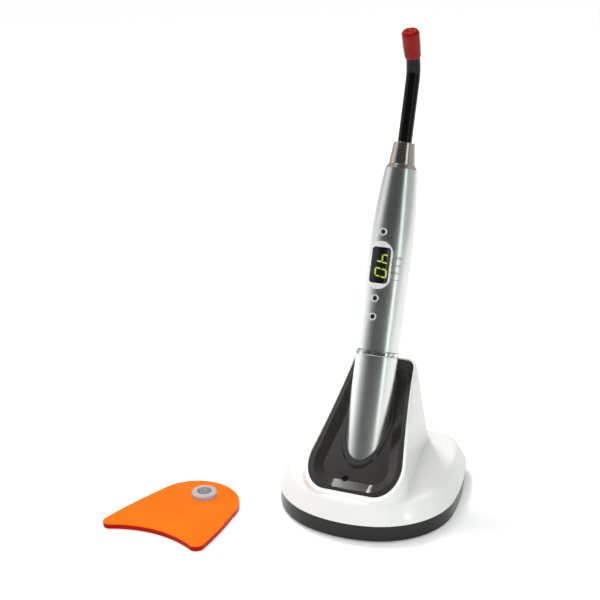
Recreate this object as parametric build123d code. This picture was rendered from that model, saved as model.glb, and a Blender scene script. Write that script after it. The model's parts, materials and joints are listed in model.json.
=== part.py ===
"""Dental lab light curing unit: a charging base with a leaning cradle, a cordless handpiece with a
bent light guide and tip cap, and an eye shield plate that lies beside the base.

Millimetres. +Z is up, -Y is the front and the origin is the centre of the base's underside.
"""
import os
from math import cos, radians, sin, tan

from build123d import *

# ---- Base: footprint at the seam between tray and cover ----
FRONT_EDGE = 56.5          # origin to the front of the seam outline
REAR_EDGE = 56.5           # origin to the rear of the seam outline
HALF_WIDTH = 51.5
WIDEST_Y = -9.0            # where the base is widest
FRONT_CURVE_R = 67.0
SIDE_CURVE_R = 185.0
REAR_CURVE_R = 115.0
FRONT_CORNER_R = 46.0
REAR_CORNER_R = 20.0

# ---- Base: heights and walls ----
PAD_HEIGHT = 1.0           # how far the anti-slip pad stands below the tray
PAD_RECESS = 0.6
PAD_INSET = 4.0
SEAM_Z = 10.5
TRAY_INSET = 0.6
TRAY_FLOOR = 2.5
WALL = 2.2
COVER_TOP_Z = 21.5
CROWN_INSET = 5.8          # how far the cover's side leans in between seam and crown
CROWN_R = 3.5
LIP_HEIGHT = 2.0
LIP_THICKNESS = 1.2
FIT_GAP = 0.2              # clearance between pieces that sit in each other
THREAD_GAP = 0.05          # clearance of a screw or bush in its hole

# ---- Tower and its slanted face ----
TOWER_FRONT_Y = -48.3
TOWER_WALL = 1.8
TOWER_REAR_Y = 40.5        # rear face at COVER_TOP_Z
TOWER_REAR_LEAN = 19.0     # rear face, forward from the vertical
TOWER_PEAK_Z = 79.2
TOWER_TOP_Z = 88.0         # section used for the loft, above the cut
TOWER_FOOT_HALF_FRONT = 33.0
TOWER_FOOT_HALF_REAR = 21.8
TOWER_TOP_HALF_FRONT = 21.8
TOWER_TOP_HALF_REAR = 19.0
TOWER_FRONT_R = 17.0
TOWER_REAR_R = 7.0
TOWER_ROOT_R = 3.0         # where the tower rises from the crown
PEAK_R = 1.0               # over the tower's top, at its rear
RIM_R = 0.5                # round the opening
RIM_LOW_Y, RIM_LOW_Z = -46.7, 23.6
RIM_HIGH_Y, RIM_HIGH_Z = 17.6, 78.3
FACE_HALF_LOW = 28.6       # half width of the opening, measured in the slanted face
FACE_HALF_HIGH = 17.6

# ---- Cradle insert ----
INSERT_RECESS = 0.6        # below the rim
INSERT_WALL = 1.8
SCOOP_INSET = 1.2          # from the cover's opening to the scoop's edge
SCOOP_DEPTH = 2.4
SCOOP_SLOPE = 7.0          # how much the scoop narrows towards its floor
SCOOP_LEAST_R = 2.5        # tightest corner of the scoop's outline
SOCKET_GAP = 0.3
SOCKET_WALL = 1.6
SOCKET_LIP = 1.0           # how far the lip stands above the scoop's floor
SOCKET_FLOOR = 2.0
SENSOR_WELL_R = 1.9
SENSOR_WELL_X = -4.0
SENSOR_WELL_UP = 9.2       # up the slanted face from its lower edge
SENSOR_BOARD_SIZE = (7.6, 3.0, 1.0)

# ---- Handpiece: position ----
LEAN = 21.0                # back from the vertical
AXIS_Y_AT_GROUND = -30.0
END_ALONG_AXIS = 16.0      # from the ground, along the axis, to the handpiece's lower end

# ---- Handpiece: radii, and stations along its axis from the lower end ----
REAR_TUBE_R = 12.0
REAR_TUBE_LENGTH = 76.0
REAR_TUBE_END_R = 5.0
REAR_TUBE_FLOOR = 2.0
CELL_R = 9.25
CELL_LENGTH = 65.0
CELL_GAP = 0.35
NECK_R = 10.95
NECK_LENGTH = 10.0
RING_HEIGHT = 3.0
RING_R = 12.2
SEAL_HEIGHT = 1.5
SEAL_DEPTH = 0.6
JOINT_GAP = 0.06           # running fit of the neck in the front tube
FRONT_TUBE_LOW_R = 12.1
FRONT_TUBE_WIDE_R = 12.5
FRONT_TUBE_TOP_R = 9.3
FRONT_TUBE_WIDE_Z = REAR_TUBE_LENGTH + 60.0
FRONT_TUBE_TOP_Z = REAR_TUBE_LENGTH + 106.0
FRONT_BORE_R = 10.4
LED_BORE_R = 7.6
LED_BORE_Z = FRONT_TUBE_TOP_Z - 30.0
COLLAR_TOP_Z = FRONT_TUBE_TOP_Z + 15.0
COLLAR_FOOT_R = 7.7
COLLAR_TOP_R = 6.2
COLLAR_SHOULDER = 2.7

# ---- Handpiece: controls on the front ----
FRONT_TURN = -8.0          # about the axis: where the front half ends up when it is screwed home
BUTTON_STATIONS = {
    "button_mode": REAR_TUBE_LENGTH + 69.4,
    "button_time": REAR_TUBE_LENGTH + 32.1,
    "button_start": REAR_TUBE_LENGTH + 21.8,
}
BUTTON_R = 1.25
BUTTON_RING_R = 2.1
BUTTON_RING_WALL = 0.7
BUTTON_PROUD = 0.45
BUTTON_LENGTH = 3.0
BUTTON_TRAVEL = 0.4
DISPLAY_CENTRE_Z = REAR_TUBE_LENGTH + 50.7
BEZEL_LENGTH = 26.9
BEZEL_WIDTH = 13.4
BEZEL_PROUD = 0.4
WINDOW_LENGTH = 20.3
WINDOW_WIDTH = 11.6
WINDOW_CORNER_R = 2.0
BOARD_FRONT = 6.4          # front face of the control board, from the axis
BOARD_THICKNESS = 1.2
BOARD_HALF_WIDTH = 8.0
BOARD_MARGIN = 5.0

# ---- Light guide and cap ----
GUIDE_R = 4.0
GUIDE_CORE_R = 3.2
GUIDE_START_Z = FRONT_TUBE_TOP_Z - 1.5
GUIDE_STRAIGHT = 42.0      # collar to the bend's corner
GUIDE_TIP = 23.2           # bend's corner to the tip
GUIDE_BEND = 43.0
GUIDE_BEND_R = 18.0
BUSH_R = 5.2
CAP_LENGTH = 16.0
CAP_R = 5.1
CAP_END = 1.2
CAP_GAP = 0.05

# ---- Eye shield plate ----
SHIELD_X, SHIELD_Y = -88.6, -44.6   # grommet centre
SHIELD_TILT = 10.5
SHIELD_THICKNESS = 3.0
SHIELD_HEAD_R = 26.0
SHIELD_HEAD_UP = 16.3      # grommet centre to the top of the plate
SHIELD_NECK_DOWN = 7.5     # where the round head meets the sides
SHIELD_SIDE = (30.2, 30.0)           # a point on each bowed side: half width, distance down
SHIELD_FOOT_LEFT = (33.0, 59.5)
SHIELD_FOOT_RIGHT = (32.0, 50.0)
SHIELD_HOLLOW_DOWN = 44.8
SHIELD_CORNER_R = 4.5
SHIELD_NECK_R = 30.0       # eases the head into the sides
SHIELD_EDGE = 0.4
GROMMET_R = 7.5
GROMMET_NECK_R = 5.6
GROMMET_BORE_R = 4.2
GROMMET_HEIGHT = 6.0

# ---- Base internals ----
BALLAST_SIZE = (80.0, 17.0, 5.0)
BALLAST_Y = 21.0
BOARD_POSTS = [(x, y) for x in (-24.0, 24.0) for y in (8.0, 34.0)]
POST_R = 3.0
POST_TOP_Z = 12.0
BASE_BOARD_SIZE = (58.0, 36.0, 1.6)
SCREW_PLACES = [(x, y) for x in (-39.0, 39.0) for y in (-16.0, 34.0)]
BOSS_R = 3.6
SCREW_R = 1.4
SCREW_HEAD_R = 2.8
SCREW_HEAD_HEIGHT = 1.6
SCREW_LENGTH = 12.0
JACK_SIZE = (9.0, 13.0, 6.9)
JACK_BORE_R = 2.75
JACK_PIN_R = 1.0
LED_X = 35.8
LED_Z = 14.8
LED_R = 1.2
LED_LENGTH = 4.5
CONTACT_X = 5.0
CONTACT_R = 1.0
CONTACT_GAP = 0.2

# ---- Worked out from the sizes above ----
TRAY_BOTTOM_Z = PAD_HEIGHT
FLOOR_Z = TRAY_BOTTOM_Z + TRAY_FLOOR
SLOPE_RISE = RIM_HIGH_Z - RIM_LOW_Z
SLOPE_RUN = RIM_HIGH_Y - RIM_LOW_Y
HANDPIECE = Plane(
    origin=(0, AXIS_Y_AT_GROUND + END_ALONG_AXIS * sin(radians(LEAN)), END_ALONG_AXIS * cos(radians(LEAN))),
    x_dir=(1, 0, 0),
    z_dir=(0, sin(radians(LEAN)), cos(radians(LEAN))),
)
FACE = Plane(origin=(0, RIM_LOW_Y, RIM_LOW_Z), x_dir=(1, 0, 0), z_dir=(0, -SLOPE_RISE, SLOPE_RUN))
TUBE_BORE_R = CELL_R + CELL_GAP
SOCKET_R = REAR_TUBE_R + SOCKET_GAP
CELL_START_Z = REAR_TUBE_FLOOR + 3.0
NECK_TOP_Z = REAR_TUBE_LENGTH + NECK_LENGTH
FRONT_START_Z = REAR_TUBE_LENGTH + RING_HEIGHT + FIT_GAP
BEND_Z = COLLAR_TOP_Z + GUIDE_STRAIGHT
FAR = 400.0


# ---------------------------------------------------------------- helpers
def disc(radius, z_low, z_high, x=0.0, y=0.0):
    """A plain cylinder between two heights."""
    return Pos(x, y, z_low) * Cylinder(radius, z_high - z_low, align=(Align.CENTER, Align.CENTER, Align.MIN))


def ring(outer_r, inner_r, z_low, z_high, x=0.0, y=0.0):
    return disc(outer_r, z_low, z_high, x, y) - disc(inner_r, z_low - 1, z_high + 1, x, y)


def block(size, x, y, z_low):
    return Pos(x, y, z_low) * Box(*size, align=(Align.CENTER, Align.CENTER, Align.MIN))


def front_pin(radius, near, far, z):
    """A cylinder that points out of the handpiece's front, from radius near to radius far."""
    return Pos(0, -near, z) * Rot(90, 0, 0) * disc(radius, 0, far - near)


def on_handpiece(shape):
    return HANDPIECE.location * shape


def on_front_half(shape):
    return on_handpiece(Rot(0, 0, FRONT_TURN) * shape)


def export(shape, name):
    shape.label = name
    export_step(shape, os.path.join("parts", name + ".step"))


# ---------------------------------------------------------------- base outline and tower
def base_outline(inset, z):
    """The base's plan at one height, drawn in from the seam outline by inset."""
    behind = Pos(0, FAR / 2) * Rectangle(FAR, FAR)
    front = Pos(0, FRONT_CURVE_R - FRONT_EDGE) * (Circle(FRONT_CURVE_R - inset) + behind)
    rear = Pos(0, REAR_EDGE - REAR_CURVE_R) * Circle(REAR_CURVE_R - inset)
    right = Pos(HALF_WIDTH - SIDE_CURVE_R, WIDEST_Y) * Circle(SIDE_CURVE_R - inset)
    left = Pos(SIDE_CURVE_R - HALF_WIDTH, WIDEST_Y) * Circle(SIDE_CURVE_R - inset)
    plan = front & rear & right & left
    plan = fillet(plan.vertices().sort_by(Axis.Y)[:2], FRONT_CORNER_R - inset)
    plan = fillet(plan.vertices().sort_by(Axis.Y)[-2:], REAR_CORNER_R - inset)
    return Pos(0, 0, z) * plan


def slab(inset, z_low, z_high):
    """An upright slab with the base's outline."""
    return extrude(base_outline(inset, z_low), amount=z_high - z_low)


def dome(inset, z_low, z_high, side_inset):
    """The base cover's leaning sides, from the seam to the crown."""
    return loft([base_outline(inset, z_low).face(), base_outline(inset + side_inset, z_high).face()], ruled=True)


def tower_section(inset, z):
    share = (z - COVER_TOP_Z) / (TOWER_TOP_Z - COVER_TOP_Z)
    half_front = TOWER_FOOT_HALF_FRONT + share * (TOWER_TOP_HALF_FRONT - TOWER_FOOT_HALF_FRONT) - inset
    half_rear = TOWER_FOOT_HALF_REAR + share * (TOWER_TOP_HALF_REAR - TOWER_FOOT_HALF_REAR) - inset
    rear_y = TOWER_REAR_Y - (z - COVER_TOP_Z) * tan(radians(TOWER_REAR_LEAN)) - inset
    front_y = TOWER_FRONT_Y + inset
    corners = [(-half_front, front_y), (half_front, front_y), (half_rear, rear_y), (-half_rear, rear_y)]
    plan = make_face(Polyline(*corners, close=True))
    plan = fillet(plan.vertices().sort_by(Axis.Y)[:2], TOWER_FRONT_R - inset)
    plan = fillet(plan.vertices().sort_by(Axis.Y)[-2:], TOWER_REAR_R - inset)
    return Pos(0, 0, z) * plan


def tower(inset, z_low):
    return loft([tower_section(inset, z_low).face(), tower_section(inset, TOWER_TOP_Z).face()], ruled=True)


def above_face(depth):
    """Everything above the slanted face, lowered by depth."""
    return FACE.location * Pos(0, 0, -depth) * Box(FAR, FAR, FAR, align=(Align.CENTER, Align.CENTER, Align.MIN))


# ---------------------------------------------------------------- base
def light_pipe(radius, length, start):
    """The indicator's light pipe through the cover's front right side."""
    angle = Vector(LED_X, -(FRONT_CURVE_R**2 - LED_X**2) ** 0.5, 0).normalized()
    reach = FRONT_CURVE_R - CROWN_INSET * (LED_Z - SEAM_Z) / (COVER_TOP_Z - SEAM_Z)
    centre = Vector(0, FRONT_CURVE_R - FRONT_EDGE, LED_Z) + angle * reach
    lean = Vector(angle.X, angle.Y, CROWN_INSET / (COVER_TOP_Z - SEAM_Z)).normalized()
    axis = Plane(origin=centre + lean * start, z_dir=lean * -1)
    return axis.location * disc(radius, 0, length)


def edges_at(body, z):
    """The body's level edges at one height."""
    level = [edge for edge in body.edges() if edge.bounding_box().size.Z < THREAD_GAP]
    return [edge for edge in level if abs(edge.center().Z - z) < THREAD_GAP]


def make_cover_outside():
    body = dome(0, SEAM_Z, COVER_TOP_Z, CROWN_INSET)
    body = fillet(body.faces().sort_by(Axis.Z)[-1].edges(), CROWN_R)
    body += tower(0, SEAM_Z + WALL) - above_face(0) - block((FAR, FAR, FAR), 0, 0, TOWER_PEAK_Z)
    peak = edges_at(body, TOWER_PEAK_Z)
    front_of_peak = min(edge.center().Y for edge in peak)
    body = fillet([edge for edge in peak if edge.center().Y > front_of_peak + PEAK_R / 2], PEAK_R)
    rim = [edge for edge in body.edges() if abs(FACE.to_local_coords(edge.center()).Z) < THREAD_GAP]
    body = fillet(rim, RIM_R)
    root = [edge for edge in edges_at(body, COVER_TOP_Z) if abs(edge.center().X) < TOWER_FOOT_HALF_FRONT
            and abs(edge.center().Y) < TOWER_REAR_Y + PEAK_R]
    return fillet(root, TOWER_ROOT_R)


def make_top_cover():
    body = make_cover_outside()
    body -= dome(WALL, SEAM_Z, COVER_TOP_Z - WALL, CROWN_INSET)
    body -= tower(TOWER_WALL, SEAM_Z - WALL)
    for x, y in SCREW_PLACES:
        inside = dome(WALL / 2, SEAM_Z, COVER_TOP_Z - WALL / 2, CROWN_INSET)
        body += disc(BOSS_R, SEAM_Z + FIT_GAP, COVER_TOP_Z, x, y) & inside
        body -= disc(SCREW_R + THREAD_GAP, SEAM_Z, SEAM_Z + SCREW_LENGTH / 2, x, y)
    body -= light_pipe(LED_R + THREAD_GAP, 2 * LED_LENGTH, LED_LENGTH)
    return body


def make_base_tray():
    body = slab(TRAY_INSET, TRAY_BOTTOM_Z, SEAM_Z)
    body -= slab(TRAY_INSET + WALL, FLOOR_Z, SEAM_Z + 1)
    lip_inset = WALL + CROWN_INSET * LIP_HEIGHT / (COVER_TOP_Z - SEAM_Z) + FIT_GAP
    lip = slab(TRAY_INSET + WALL / 2, SEAM_Z - LIP_HEIGHT, SEAM_Z) + slab(lip_inset, SEAM_Z, SEAM_Z + LIP_HEIGHT)
    body += lip - slab(lip_inset + LIP_THICKNESS, SEAM_Z - LIP_HEIGHT - 1, SEAM_Z + LIP_HEIGHT + 1)
    body -= slab(PAD_INSET - FIT_GAP, 0, TRAY_BOTTOM_Z + PAD_RECESS)
    for x, y in BOARD_POSTS:
        body += disc(POST_R, FLOOR_Z - 0.5, POST_TOP_Z, x, y)
    for x, y in SCREW_PLACES:
        body += disc(BOSS_R, FLOOR_Z - 0.5, SEAM_Z, x, y)
        body -= disc(SCREW_R + FIT_GAP, 0, SEAM_Z + 1, x, y)
        body -= disc(SCREW_HEAD_R + FIT_GAP, 0, FLOOR_Z + SCREW_HEAD_HEIGHT, x, y)
        body -= disc(BOSS_R + FIT_GAP, SEAM_Z, SEAM_Z + LIP_HEIGHT + 1, x, y)
    body -= light_pipe(LED_R + FIT_GAP, 2 * LED_LENGTH, LED_LENGTH)
    slot_size = (JACK_SIZE[0] + 2 * FIT_GAP, JACK_SIZE[1], COVER_TOP_Z)
    body -= block(slot_size, 0, jack_rear_y() + FIT_GAP - slot_size[1] / 2, FLOOR_Z)
    hole = Pos(0, REAR_EDGE + 5, jack_centre_z()) * Rot(90, 0, 0) * disc(JACK_BORE_R + FIT_GAP, 0, 10)
    return body - hole


def jack_centre_z():
    return FLOOR_Z + JACK_SIZE[2] / 2


def jack_rear_y():
    return REAR_EDGE - TRAY_INSET - WALL - FIT_GAP


def make_dc_jack():
    rear = jack_rear_y()
    shell = block(JACK_SIZE, 0, rear - JACK_SIZE[1] / 2, FLOOR_Z)
    mouth = Pos(0, rear + 1, jack_centre_z()) * Rot(90, 0, 0) * disc(JACK_BORE_R, 0, JACK_SIZE[1] - 2)
    pin = Pos(0, rear - 1, jack_centre_z()) * Rot(90, 0, 0) * disc(JACK_PIN_R, 0, JACK_SIZE[1] - 2)
    return shell - mouth + pin


def make_base_screws():
    solids = []
    for x, y in SCREW_PLACES:
        head_z = FLOOR_Z + SCREW_HEAD_HEIGHT
        solids.append(disc(SCREW_HEAD_R, head_z - SCREW_HEAD_HEIGHT, head_z, x, y)
                      + disc(SCREW_R, head_z - 0.1, head_z + SCREW_LENGTH - SCREW_HEAD_HEIGHT, x, y))
    return Compound(children=solids)


def face_outline(inset, depth):
    """The cradle opening as a rounded trapezoid in the slanted face, drawn in by inset."""
    length = (SLOPE_RISE**2 + SLOPE_RUN**2) ** 0.5
    low = FACE_HALF_LOW - inset
    high = FACE_HALF_HIGH - inset
    corners = [(-low, inset), (low, inset), (high, length - inset), (-high, length - inset)]
    plan = make_face(Polyline(*corners, close=True))
    plan = fillet(plan.vertices().sort_by(Axis.Y)[:2], max(TOWER_FRONT_R - inset, SCOOP_LEAST_R))
    plan = fillet(plan.vertices().sort_by(Axis.Y)[-2:], max(TOWER_REAR_R - inset, SCOOP_LEAST_R))
    return Pos(0, 0, -depth) * plan


def scoop(grow, depth_low):
    top = face_outline(SCOOP_INSET - grow, 0)
    floor = face_outline(SCOOP_INSET + SCOOP_SLOPE - grow, depth_low)
    return FACE.location * loft([floor.face(), top.face()], ruled=True)


def sensor_axis():
    return FACE.location * Pos(SENSOR_WELL_X, SENSOR_WELL_UP, -SCOOP_DEPTH - INSERT_RECESS)


def make_cradle_insert():
    floor_depth = INSERT_RECESS + SCOOP_DEPTH
    flange = tower(TOWER_WALL + FIT_GAP, SEAM_Z) - above_face(INSERT_RECESS)
    flange = flange & above_face(INSERT_RECESS + INSERT_WALL)
    body = flange + scoop(INSERT_WALL, floor_depth + INSERT_WALL) - above_face(INSERT_RECESS)
    body -= scoop(0, floor_depth)
    socket = on_handpiece(disc(SOCKET_R + SOCKET_WALL, -SOCKET_FLOOR - SOCKET_GAP, COLLAR_TOP_Z))
    body += socket - above_face(floor_depth - SOCKET_LIP)
    body -= on_handpiece(disc(SOCKET_R, -SOCKET_GAP, COLLAR_TOP_Z))
    for side in (-1, 1):
        body -= on_handpiece(disc(CONTACT_R + THREAD_GAP, -FAR / 10, 0, side * CONTACT_X))
    return body - sensor_axis() * disc(SENSOR_WELL_R, -INSERT_WALL - 1, 1)


def make_sensor_lens():
    return sensor_axis() * disc(SENSOR_WELL_R - THREAD_GAP, -INSERT_WALL, -0.8)


def make_sensor_board():
    return sensor_axis() * block(SENSOR_BOARD_SIZE, 0, 0, -INSERT_WALL - SENSOR_BOARD_SIZE[2])


def make_charge_contacts():
    pins = [on_handpiece(disc(CONTACT_R, -SOCKET_FLOOR - 2, -CONTACT_GAP, side * CONTACT_X)) for side in (-1, 1)]
    return Compound(children=pins)


def make_base_board():
    centre_y = sum(y for _, y in BOARD_POSTS) / len(BOARD_POSTS)
    return block(BASE_BOARD_SIZE, 0, centre_y, POST_TOP_Z)


# ---------------------------------------------------------------- battery tube
def make_rear_tube():
    body = disc(REAR_TUBE_R, 0, REAR_TUBE_LENGTH)
    body = fillet(body.faces().sort_by(Axis.Z)[0].edges(), REAR_TUBE_END_R)
    body += disc(NECK_R, REAR_TUBE_LENGTH - 1, NECK_TOP_Z)
    body -= disc(TUBE_BORE_R, REAR_TUBE_FLOOR, NECK_TOP_Z + 1)
    body -= seal_ring(NECK_R + 1)
    for side in (-1, 1):
        body -= disc(CONTACT_R + 0.4 + THREAD_GAP, -1, REAR_TUBE_FLOOR + 1, side * CONTACT_X)
    return body


def seal_ring(outer_r):
    middle = (FRONT_START_Z + NECK_TOP_Z) / 2
    return ring(outer_r, NECK_R - SEAL_DEPTH, middle - SEAL_HEIGHT / 2, middle + SEAL_HEIGHT / 2)


def make_joint_ring():
    body = ring(RING_R, NECK_R + THREAD_GAP, REAR_TUBE_LENGTH, REAR_TUBE_LENGTH + RING_HEIGHT)
    outer_edges = [edge for edge in body.edges() if edge.length > 2 * 3.1 * (NECK_R + 0.5)]
    return fillet(outer_edges, 0.5)


def make_tail_contacts():
    radius = CONTACT_R + 0.4
    pads = [disc(radius, 0.1, REAR_TUBE_FLOOR, side * CONTACT_X) for side in (-1, 1)]
    return Compound(children=pads)


def make_cell_spring():
    """The sprung contact under the cell, as a stepped cone of flattened turns."""
    body = disc(6.6, REAR_TUBE_FLOOR, REAR_TUBE_FLOOR + 0.8)
    body += disc(5.0, REAR_TUBE_FLOOR + 0.8, REAR_TUBE_FLOOR + 1.9)
    return body + disc(3.2, REAR_TUBE_FLOOR + 1.9, CELL_START_Z)


def make_battery_cell():
    body = disc(CELL_R, CELL_START_Z, CELL_START_Z + CELL_LENGTH)
    return fillet(body.edges(), 0.8) + disc(2.9, CELL_START_Z + CELL_LENGTH - 0.1, CELL_START_Z + CELL_LENGTH + 1.2)


# ---------------------------------------------------------------- front of the handpiece
def front_radius(z):
    """Radius of the front tube's straight, slightly conical stretch."""
    share = (min(z, FRONT_TUBE_WIDE_Z) - FRONT_START_Z) / (FRONT_TUBE_WIDE_Z - FRONT_START_Z)
    return FRONT_TUBE_LOW_R + share * (FRONT_TUBE_WIDE_R - FRONT_TUBE_LOW_R)


def front_profile(proud=0.0):
    """Revolved outside of the front tube."""
    low = (FRONT_TUBE_LOW_R + proud, FRONT_START_Z)
    wide = (FRONT_TUBE_WIDE_R + proud, FRONT_TUBE_WIDE_Z)
    top = (FRONT_TUBE_TOP_R + proud, FRONT_TUBE_TOP_Z)
    straight = Line(low, wide)
    shoulder = Spline(wide, top, tangents=[(0, 1), (-0.11, 1)], tangent_scalars=[1, 1])
    lid = Polyline(top, (0, FRONT_TUBE_TOP_Z), (0, FRONT_START_Z), low)
    face = make_face(Curve() + [straight, shoulder, lid])
    return revolve(Plane.XZ.location * face, Axis.Z)


def bezel_outline():
    straight = BEZEL_LENGTH - BEZEL_WIDTH
    plan = Rectangle(BEZEL_WIDTH, straight)
    end_depth = (BEZEL_LENGTH - straight) / 2
    for side in (-1, 1):
        plan += Pos(0, side * straight / 2) * scale(Circle(BEZEL_WIDTH / 2), (1, 2 * end_depth / BEZEL_WIDTH, 1))
    return plan


def display_cut(outline, near, far):
    """An outline pushed out through the handpiece's front, centred on the display."""
    plane = Plane(origin=(0, -near, DISPLAY_CENTRE_Z), x_dir=(1, 0, 0), z_dir=(0, -1, 0))
    return extrude(plane.location * outline, amount=far - near)


def window_outline(grow=0.0):
    return RectangleRounded(WINDOW_WIDTH + 2 * grow, WINDOW_LENGTH + 2 * grow, WINDOW_CORNER_R + grow)


def make_front_tube():
    body = front_profile()
    body -= disc(NECK_R + JOINT_GAP, FRONT_START_Z - 1, NECK_TOP_Z + 1)
    body -= disc(FRONT_BORE_R, NECK_TOP_Z, LED_BORE_Z)
    body -= disc(LED_BORE_R, LED_BORE_Z - 1, FRONT_TUBE_TOP_Z + 1)
    body -= display_cut(bezel_outline(), BOARD_FRONT, FAR / 10)
    for z in BUTTON_STATIONS.values():
        body -= front_pin(BUTTON_RING_R, BOARD_FRONT, FAR / 10, z)
    return body


def make_display_bezel():
    body = display_cut(bezel_outline(), BOARD_FRONT + 2, FAR / 10) & front_profile(BEZEL_PROUD)
    body -= disc(FRONT_BORE_R + 0.3, NECK_TOP_Z, LED_BORE_Z)
    return body - display_cut(window_outline(), BOARD_FRONT, FAR / 10)


def make_display_window():
    body = display_cut(window_outline(-THREAD_GAP), BOARD_FRONT + 2, FAR / 10) & front_profile(BEZEL_PROUD / 4)
    return body - disc(FRONT_BORE_R + 0.6, NECK_TOP_Z, LED_BORE_Z)


def make_display_module():
    inside = WINDOW_WIDTH / 2
    depth = (FRONT_BORE_R**2 - inside**2) ** 0.5 - BOARD_FRONT
    return display_cut(RectangleRounded(WINDOW_WIDTH, WINDOW_LENGTH, 0.5), BOARD_FRONT, BOARD_FRONT + depth)


def make_button_rings():
    rings = []
    for z in BUTTON_STATIONS.values():
        outer = front_radius(z) + BUTTON_PROUD - 0.1
        inner = outer - 1.8
        collar = front_pin(BUTTON_RING_R - THREAD_GAP, inner, outer, z)
        rings.append(collar - front_pin(BUTTON_RING_R - BUTTON_RING_WALL, inner - 1, outer + 1, z))
    return Compound(children=rings)


def make_button(z):
    outer = front_radius(z) + BUTTON_PROUD
    return front_pin(BUTTON_R, outer - BUTTON_LENGTH, outer, z)


def make_tact_switches():
    switches = []
    for z in BUTTON_STATIONS.values():
        plunger_top = front_radius(z) + BUTTON_PROUD - BUTTON_LENGTH - BUTTON_TRAVEL - 0.1
        body = Pos(0, -BOARD_FRONT - 0.9, z) * Box(4.5, 1.8, 4.5)
        switches.append(body + front_pin(1.0, BOARD_FRONT + 1, plunger_top, z))
    return Compound(children=switches)


def make_control_board():
    stations = BUTTON_STATIONS.values()
    low = min(stations) - BOARD_MARGIN
    high = max(stations) + BOARD_MARGIN
    size = (2 * BOARD_HALF_WIDTH, BOARD_THICKNESS, high - low)
    return Pos(0, BOARD_THICKNESS / 2 - BOARD_FRONT, (low + high) / 2) * Box(*size)


def make_cell_contact():
    low = CELL_START_Z + CELL_LENGTH + 1.4
    plate_z = NECK_TOP_Z + 1.5
    return disc(FRONT_BORE_R - FIT_GAP, plate_z, plate_z + 1.2) + disc(2.6, low, plate_z + 0.1)


def make_collar():
    """Stainless collar: a plug in the front tube, a rounded shoulder and a taper up to the mouth."""
    body = disc(LED_BORE_R - THREAD_GAP, led_top_z() + 0.2, FRONT_TUBE_TOP_Z + 0.1)
    shoulder_top = FRONT_TUBE_TOP_Z + COLLAR_SHOULDER
    shoulder = Pos(0, 0, FRONT_TUBE_TOP_Z) * Cone(
        FRONT_TUBE_TOP_R - 0.1, COLLAR_FOOT_R, COLLAR_SHOULDER, align=(Align.CENTER, Align.CENTER, Align.MIN))
    body += fillet(shoulder.faces().sort_by(Axis.Z)[-1].edges(), 1.2)
    taper = Pos(0, 0, shoulder_top - 0.9) * Cone(
        COLLAR_FOOT_R, COLLAR_TOP_R, COLLAR_TOP_Z - shoulder_top + 0.9, align=(Align.CENTER, Align.CENTER, Align.MIN))
    body += fillet(taper.faces().sort_by(Axis.Z)[-1].edges(), 0.6)
    body -= disc(BUSH_R, GUIDE_START_Z - 1, COLLAR_TOP_Z + 1)
    return body - disc(lens_radius() + THREAD_GAP, led_top_z(), lens_top_z() + 0.1)


def led_top_z():
    return FRONT_TUBE_TOP_Z - 11.0


def lens_radius():
    return GUIDE_R + 1.8


def lens_top_z():
    return led_top_z() + 7.0


def make_heat_sink():
    body = disc(LED_BORE_R - THREAD_GAP, LED_BORE_Z, led_top_z() - 1.6)
    for index in range(4):
        body -= ring(LED_BORE_R + 1, LED_BORE_R - 1.6, LED_BORE_Z + 3 + 4 * index, LED_BORE_Z + 4.5 + 4 * index)
    return body


def make_led_board():
    return disc(LED_BORE_R - 2 * THREAD_GAP, led_top_z() - 1.6, led_top_z())


def make_led_emitter():
    base = block((3.4, 3.4, 0.6), 0, 0, led_top_z())
    dome_part = Pos(0, 0, led_top_z() + 0.5) * (Sphere(1.4) & disc(3, 0, 3))
    return base + dome_part


def make_lens():
    body = disc(lens_radius(), led_top_z() + 2.4, lens_top_z())
    return body


# ---------------------------------------------------------------- light guide and cap
def tip_direction():
    """The guide bends towards the handpiece's front."""
    return Vector(0, -sin(radians(GUIDE_BEND)), cos(radians(GUIDE_BEND)))


def guide_solid(radius, start_z, tip):
    corner = Vector(0, 0, BEND_Z)
    end = corner + tip_direction() * tip
    path = FilletPolyline((0, 0, start_z), corner, end, radius=GUIDE_BEND_R)
    return sweep(Pos(0, 0, start_z) * Circle(radius), path=path)


def make_guide_sheath():
    return guide_solid(GUIDE_R, GUIDE_START_Z, GUIDE_TIP) - guide_solid(
        GUIDE_CORE_R, GUIDE_START_Z - 1, GUIDE_TIP + 1)


def make_guide_core():
    return guide_solid(GUIDE_CORE_R - THREAD_GAP / 5, GUIDE_START_Z, GUIDE_TIP)


def make_guide_bush():
    return ring(BUSH_R - THREAD_GAP, GUIDE_R + JOINT_GAP, GUIDE_START_Z, COLLAR_TOP_Z - 0.4)


def make_tip_cap():
    direction = tip_direction()
    mouth = Vector(0, 0, BEND_Z) + direction * (GUIDE_TIP - CAP_LENGTH + CAP_END)
    axis = Plane(origin=mouth, x_dir=(1, 0, 0), z_dir=direction)
    body = disc(CAP_R, 0, CAP_LENGTH + CAP_GAP)
    body = fillet(body.faces().sort_by(Axis.Z)[-1].edges(), 1.6)
    body = fillet(body.faces().sort_by(Axis.Z)[0].edges(), 0.3)
    body -= disc(GUIDE_R + CAP_GAP, -1, CAP_LENGTH - CAP_END + CAP_GAP)
    return axis.location * body


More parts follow.
